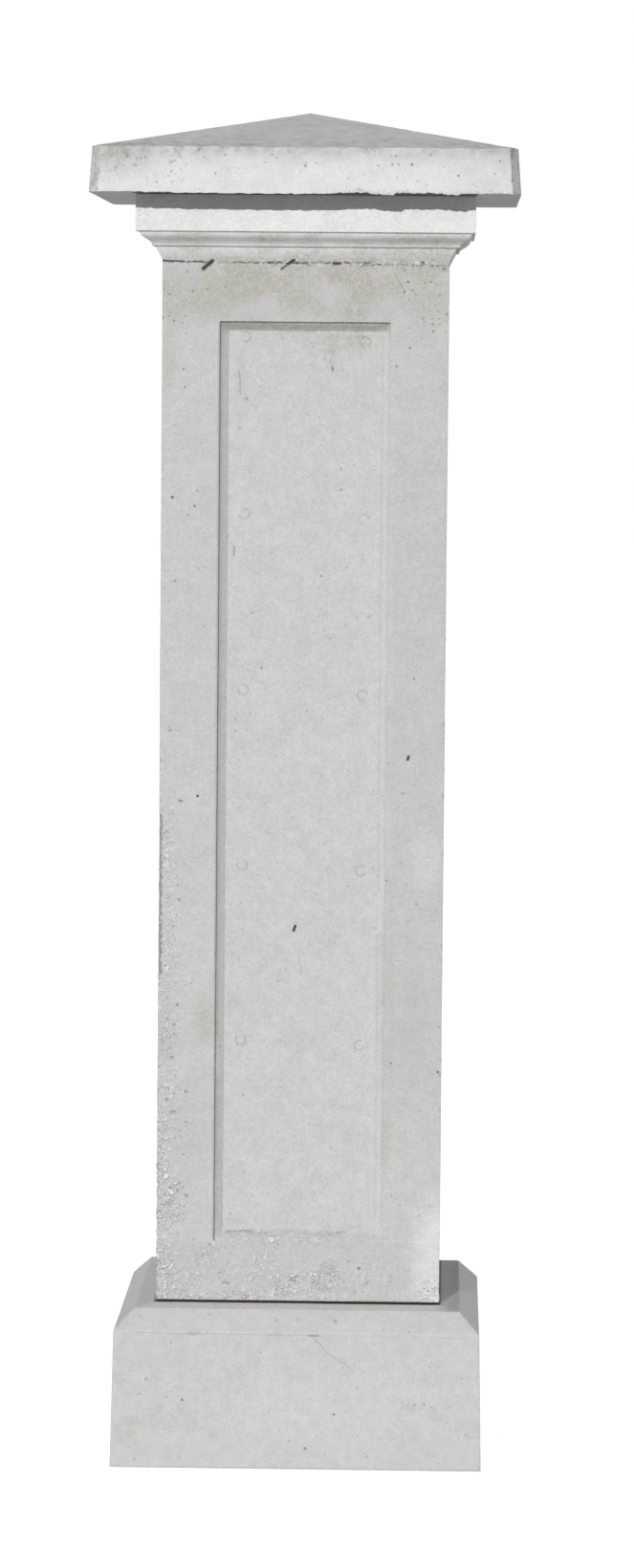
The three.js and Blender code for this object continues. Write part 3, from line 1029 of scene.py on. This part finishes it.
def weather_cap(points, normals):
    x, y, z = (points / MM).T
    above = z - eaves / MM
    wave = 0.16 * (lumps(points, 80, 13) - 0.75)
    on_slope = fade(above, 1, 3)
    stretched = points * np.array((0.18, 1.0, 1.0))
    ripple = 0.25 * lumps(stretched, 7, 14) * on_slope
    push = normals * ((wave + ripple) * MM)[:, None]
    push[z > apex / MM - 1] = 0
    # The ragged arris moves straight up and down, and the faces behind it follow for a few mm.
    foot = cap_foot / MM
    depth_behind = y + cap_foot_half / MM
    close = np.hypot(z - foot, np.maximum(depth_behind, 0))
    near = fade(close, 6.5, 0.5) * (y < -200) * fade(np.abs(x), 216, 208)
    push[:, 2] -= arris_drop(x) * near * MM
    # The eaves line wanders a little as well.
    eave = fade(np.abs(above), 4, 0.3) * (y < -205)
    push[:, 2] += 0.7 * lumps(points * np.array((1, 0, 0)), 11, 15, 4) * eave * MM

    beside = np.maximum(np.abs(x), np.abs(y))
    soffit = fade(normals[:, 2], -0.6, -0.8)
    corner = fade(np.minimum(np.abs(normals[:, 0]), np.abs(normals[:, 1])), 0.35, 0.55)
    # Grime and painted shade darken the underside of the cap in front of the neck, in the angle between the
    # two.
    dirt = 0.85 * soffit * (np.abs(x) < 179) * (beside > 178)
    spots = fade(lumps(points, 9, 16, 4), 0.05, 0.5)
    left_end = fade(x, -135, -190) * (y < -200)
    # The corner cuts carry dark spots, and those on the right are darker still.
    dirt = np.maximum(dirt, corner * (0.3 * spots + 0.12 * (x > 0)))
    dirt = np.maximum(dirt, 0.13 * spots * left_end * fade(above, -39, -12))
    dirt = np.maximum(dirt, 0.3 * spots * on_slope * fade(above, 16, 1))
    dirty = fade(above, -14, 0) * fade(above, 4, 1) * fade(lumps(points, 11, 18, 4), -0.35, 0.35)
    stain = dirty * (0.6 + 0.3 * fade(x, -90, -150))
    stain += 0.4 * left_end * fade(above, -44, -14)
    stain += 0.3 * corner * fade(x, 0, 200) + 0.4 * on_slope * fade(lumps(points, 18, 18, 4), -0.1, 0.5)
    # The cap is palest low down and darker towards the eaves and on the slopes. Low on the face that is its
    # paler skin; on the underside, which this takes in too, it is painted light that stands in for the
    # light the ground throws up.
    bloom_and_light = 1 - 0.8 * fade(above, -28, 4) - 0.2 * fade(lumps(points, 30, 19), -0.4, 0.6)
    bloom_and_light -= 0.25 * fade(x, 120, 190)
    bloom_and_light *= 1 - 0.9 * corner
    rough = 0.7 * near * fade(x, 0, 60) + 0.25 * on_slope + 0.3 * left_end * fade(above, -34, -9)
    return push, {"dirt": dirt, "stain": stain, "bloom_and_light": bloom_and_light, "rough": rough}


cap_grounds = [
    (lambda c: (c[:, 1] < -0.216) & (c[:, 2] < cap_foot + 7 * MM), 1.6 * MM),
    (lambda c: (c[:, 1] < -0.216) & (np.abs(c[:, 2] - eaves) < 4 * MM), 1.6 * MM),
    (lambda c: (c[:, 1] < -0.176) & (c[:, 2] < cap_foot + 1 * MM), 6.1 * MM),
    (lambda c: (c[:, 1] < 0) & (c[:, 2] > eaves), 6.1 * MM),
    (lambda c: c[:, 1] < -0.21, 6.1 * MM),
]
refine(cap_bm, cap_cuts, cap_grounds)
cap_casting = make_piece("cap_casting", cap_bm, weather_cap, cap_cuts)

# %% [markdown]
# Precast concrete is a matt cement skin over sand. From a step away the eye sees clouds a hand across
# where the paste cured at different rates, smaller mottling, and a speckle of sand and pinholes.
# The three castings are the same kind of concrete from different batches, so one recipe makes the
# three materials and only its colours change.

# %% Concrete
MIX_FACTOR, MIX_A, MIX_B = 0, 6, 7  # sockets of a Mix node that mixes colours
MIX_RESULT = 2
CONCRETE_IOR = 1.5
CONCRETE_ROUGHNESS = 0.88
SAND_RELIEF = 0.3 * MM
FLAKE_RELIEF = 5.0                  # times that of the sand


def linear(hex_colour):
    """An sRGB hex colour as linear RGBA."""
    shares = [int(hex_colour[start:start + 2], 16) / 255 for start in (1, 3, 5)]
    return (*[s / 12.92 if s <= 0.04045 else ((s + 0.055) / 1.055) ** 2.4 for s in shares], 1)


def precast_concrete(name, paste, bloom_and_light, stain, cool, grain):
    """A grey paste that is paler where bloom and painted light lie, beige where it is stained, and cool in
    clouds.
    Grain is how strong the fine speckle is, as a share of the brightness."""
    material = bpy.data.materials.new(name)
    material.use_nodes = True
    tree = material.node_tree
    shader = tree.nodes["Principled BSDF"]
    place = add_node(tree, "ShaderNodeTexCoord").outputs["Object"]

    def pattern(spacing, detail, roughness):
        """Random grey values from 0 to 1, with lumps this many mm apart."""
        inputs = {"Vector": place, "Scale": 1 / (spacing * MM), "Detail": detail, "Roughness": roughness}
        return add_node(tree, "ShaderNodeTexNoise", inputs).outputs["Fac"]

    def remap(value, low, high, to_low=0.0, to_high=1.0):
        inputs = {"Value": value, "From Min": low, "From Max": high, "To Min": to_low, "To Max": to_high}
        return add_node(tree, "ShaderNodeMapRange", inputs).outputs[0]

    def mix(factor, a, b, blend="MIX"):
        inputs = {MIX_FACTOR: factor, MIX_A: a, MIX_B: b}
        node = add_node(tree, "ShaderNodeMix", inputs, data_type="RGBA", blend_type=blend)
        return node.outputs[MIX_RESULT]

    def mask(attribute):
        return add_node(tree, "ShaderNodeAttribute", attribute_name=attribute).outputs["Fac"]

    def maths(operation, a, b):
        return add_node(tree, "ShaderNodeMath", {0: a, 1: b}, operation=operation).outputs[0]

    # Dark grey for dirt together with painted shade in pinholes and rough hollows.
    grime_and_shade = linear("#6f6c66")
    stain_mask = mask("stain")
    clouds = pattern(90, 3, 0.55)
    mottle = pattern(13, 4, 0.65)
    blots = pattern(6, 5, 0.75)
    speckle = pattern(2.5, 3, 0.8)
    crumbs = pattern(6, 3, 0.6)
    flakes = remap(crumbs, 0.5, 0.6)
    rough_mask = mask("rough")
    colour = mix(remap(clouds, 0.38, 0.66), linear(paste), linear(cool))
    colour = mix(mask("bloom_and_light"), colour, linear(bloom_and_light))
    broken_stain = maths("MULTIPLY", stain_mask, remap(blots, 0.38, 0.62, 0.25, 1.4))
    colour = mix(broken_stain, colour, linear(stain))
    # Sand grains and sugary paste: a fine speckle, stronger where the skin is stained and weathered.
    weathered = maths("MAXIMUM", stain_mask, rough_mask)
    sand = maths("MULTIPLY", remap(speckle, 0.25, 0.75, -1, 1), remap(weathered, 0, 1, grain, 1.45 * grain))
    grey = maths("MULTIPLY", maths("ADD", sand, 1.0), remap(mottle, 0.3, 0.7, 0.945, 1.05))
    grey_colour = add_node(tree, "ShaderNodeCombineColor", {0: grey, 1: grey, 2: grey}).outputs[0]
    colour = mix(1.0, colour, grey_colour, "MULTIPLY")

    # Pinholes a millimetre across, too small to be worth faces, are drawn dark where a cell's middle is
    # near: dirt and painted shade in the holes.
    cell_inputs = {"Vector": place, "Scale": 1 / (7 * MM), "Randomness": 1.0}
    cells = add_node(tree, "ShaderNodeTexVoronoi", cell_inputs)
    pinhole = remap(cells.outputs["Distance"], 0.06, 0.13, 1.0, 0.0)
    chosen = remap(pattern(9, 1, 0.5), 0.52, 0.58)
    pinholes = maths("MULTIPLY", pinhole, chosen)
    colour = mix(maths("MULTIPLY", pinholes, remap(clouds, 0.35, 0.65, 0.25, 0.7)), colour, grime_and_shade)
    # Where the skin is rough, flakes are painted pale, as painted light, and the hollows between them dark,
    # dirt together with painted shade.
    colour = mix(maths("MULTIPLY", rough_mask, remap(flakes, 0, 1, 0.1, 1)), colour, linear(bloom_and_light))
    colour = mix(maths("MULTIPLY", rough_mask, remap(crumbs, 0.42, 0.34, 0, 0.5)), colour, grime_and_shade)
    # Dirt, and painted shade in holes, joints and crevices, darken to a dark brown.
    colour = mix(mask("dirt"), colour, linear("#38281e"))

    tree.links.new(colour, shader.inputs["Base Color"])
    shader.inputs["Roughness"].default_value = CONCRETE_ROUGHNESS
    shader.inputs["IOR"].default_value = CONCRETE_IOR
    # The relief is that of the sand, and of flakes a few mm across where the skin is rough.
    height = maths("SUBTRACT", speckle, pinholes)
    height = maths("ADD", height, maths("MULTIPLY", maths("MULTIPLY", flakes, rough_mask), FLAKE_RELIEF))
    bump = add_node(tree, "ShaderNodeBump", {"Strength": 1.0, "Distance": SAND_RELIEF, "Height": height})
    tree.links.new(bump.outputs[0], shader.inputs["Normal"])
    return material


plinth_concrete = precast_concrete(
    "precast_concrete_plinth_from_smooth_form", "#c9caca", "#d8d9d8", "#bab8ad", "#c6c8c9", 0.11,
)
shaft_concrete = precast_concrete(
    "precast_concrete_shaft_from_board_form", "#c4c4c3", "#e8e7e5", "#b4b2a7", "#c2c4c5", 0.15,
)
cap_concrete = precast_concrete(
    "precast_concrete_cap_trowelled", "#c5c6c6", "#dddddc", "#a6a49b", "#c2c4c6", 0.10,
)

# %% [markdown]
# Last, each casting gets its material, takes the place of its plain solid, and rides on the part's one
# body.

# %% Finish
for piece, node, material in (
    (plinth_casting, "plinth", plinth_concrete),
    (shaft_casting, "shaft", shaft_concrete),
    (cap_casting, "cap", cap_concrete),
):
    piece.data.materials.append(material)
    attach(piece, "root")
    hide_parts(node)
